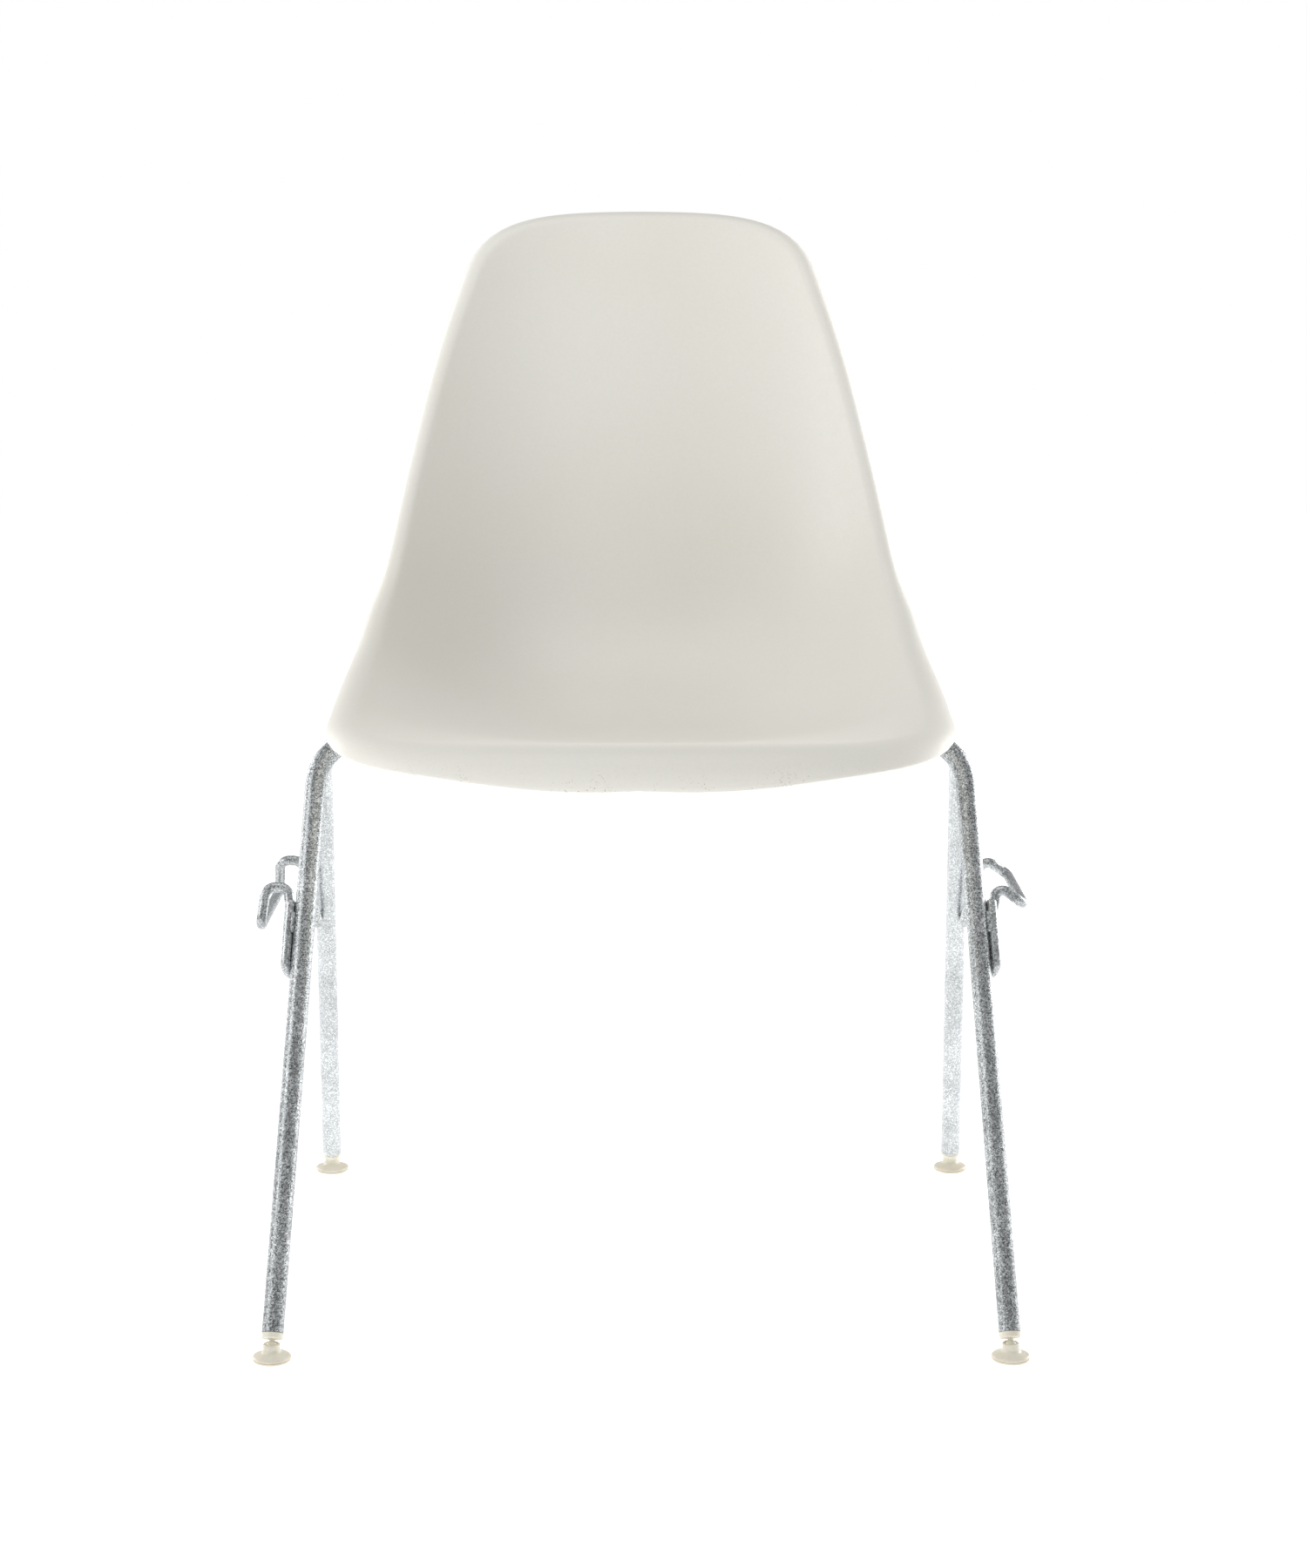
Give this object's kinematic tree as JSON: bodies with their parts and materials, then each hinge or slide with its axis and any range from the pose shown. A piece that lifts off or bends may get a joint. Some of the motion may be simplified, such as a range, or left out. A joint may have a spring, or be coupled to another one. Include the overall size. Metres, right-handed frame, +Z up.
{
  "type": "stacking chair",
  "caption": "Stacking side chair: a moulded one-piece shell on two bent tube hoops, with linking rods at the sides and self-levelling glides.",
  "frame": {"origin": "centre of the bounding box, on the floor", "axes": "+Z up, the sitter faces -Y, +X is to the sitter's left"},
  "size_m": [0.5844, 0.5298, 0.8116],
  "materials": {
    "moulded_shell": "satin off-white moulded fibreglass",
    "zinc_plated_steel": "spangled zinc plate",
    "plain_steel": "bright zinc plate",
    "black_rubber": "matt black",
    "ivory_nylon": "satin ivory"
  },
  "bodies": {
    "frame": {"front_hoop": "zinc_plated_steel", "gang_rod_left": "zinc_plated_steel", "gang_rod_right": "zinc_plated_steel", "glide_plug_front_left": "ivory_nylon", "glide_plug_front_right": "ivory_nylon", "glide_plug_rear_left": "ivory_nylon", "glide_plug_rear_right": "ivory_nylon", "mount_insert_front_left": "plain_steel", "mount_insert_front_right": "plain_steel", "mount_insert_rear_left": "plain_steel", "mount_insert_rear_right": "plain_steel", "mount_rail_left": "zinc_plated_steel", "mount_rail_right": "zinc_plated_steel", "mount_screw_front_left": "plain_steel", "mount_screw_front_right": "plain_steel", "mount_screw_rear_left": "plain_steel", "mount_screw_rear_right": "plain_steel", "mount_washer_front_left": "plain_steel", "mount_washer_front_right": "plain_steel", "mount_washer_rear_left": "plain_steel", "mount_washer_rear_right": "plain_steel", "rail_welds": "zinc_plated_steel", "rear_hoop": "zinc_plated_steel", "rod_welds": "zinc_plated_steel", "seat_shell": "moulded_shell", "shock_mount_front_left": "black_rubber", "shock_mount_front_right": "black_rubber", "shock_mount_rear_left": "black_rubber", "shock_mount_rear_right": "black_rubber"},
    "stud_front_left": {"ball_stud_front_left": "ivory_nylon"},
    "foot_front_left": {"glide_foot_front_left": "ivory_nylon"},
    "stud_rear_left": {"ball_stud_rear_left": "ivory_nylon"},
    "foot_rear_left": {"glide_foot_rear_left": "ivory_nylon"},
    "stud_front_right": {"ball_stud_front_right": "ivory_nylon"},
    "foot_front_right": {"glide_foot_front_right": "ivory_nylon"},
    "stud_rear_right": {"ball_stud_rear_right": "ivory_nylon"},
    "foot_rear_right": {"glide_foot_rear_right": "ivory_nylon"}
  },
  "joints": [
    {"name": "stud_spin_front_left", "type": "hinge", "parent": "frame", "child": "stud_front_left", "pos_m": [0.2658, -0.24766, 0.01], "axis": [-0.0438, 0.4706, 0.8813], "continuous": true},
    {"name": "foot_tilt_front_left", "type": "hinge", "parent": "stud_front_left", "child": "foot_front_left", "pos_m": [0.2658, -0.24766, 0.01], "axis": [0.9957, 0.0927, 0], "range_deg": [-59, 2.5]},
    {"name": "stud_spin_rear_left", "type": "hinge", "parent": "frame", "child": "stud_rear_left", "pos_m": [0.2658, 0.20466, 0.01], "axis": [-0.0438, -0.4706, 0.8813], "continuous": true},
    {"name": "foot_tilt_rear_left", "type": "hinge", "parent": "stud_rear_left", "child": "foot_rear_left", "pos_m": [0.2658, 0.20466, 0.01], "axis": [-0.9957, 0.0927, 0], "range_deg": [-59, 2.5]},
    {"name": "stud_spin_front_right", "type": "hinge", "parent": "frame", "child": "stud_front_right", "pos_m": [-0.2658, -0.24766, 0.01], "axis": [0.0438, 0.4706, 0.8813], "continuous": true},
    {"name": "foot_tilt_front_right", "type": "hinge", "parent": "stud_front_right", "child": "foot_front_right", "pos_m": [-0.2658, -0.24766, 0.01], "axis": [0.9957, -0.0927, 0], "range_deg": [-59, 2.5]},
    {"name": "stud_spin_rear_right", "type": "hinge", "parent": "frame", "child": "stud_rear_right", "pos_m": [-0.2658, 0.20466, 0.01], "axis": [0.0438, -0.4706, 0.8813], "continuous": true},
    {"name": "foot_tilt_rear_right", "type": "hinge", "parent": "stud_rear_right", "child": "foot_rear_right", "pos_m": [-0.2658, 0.20466, 0.01], "axis": [-0.9957, -0.0927, 0], "range_deg": [-59, 2.5]}
  ]
}
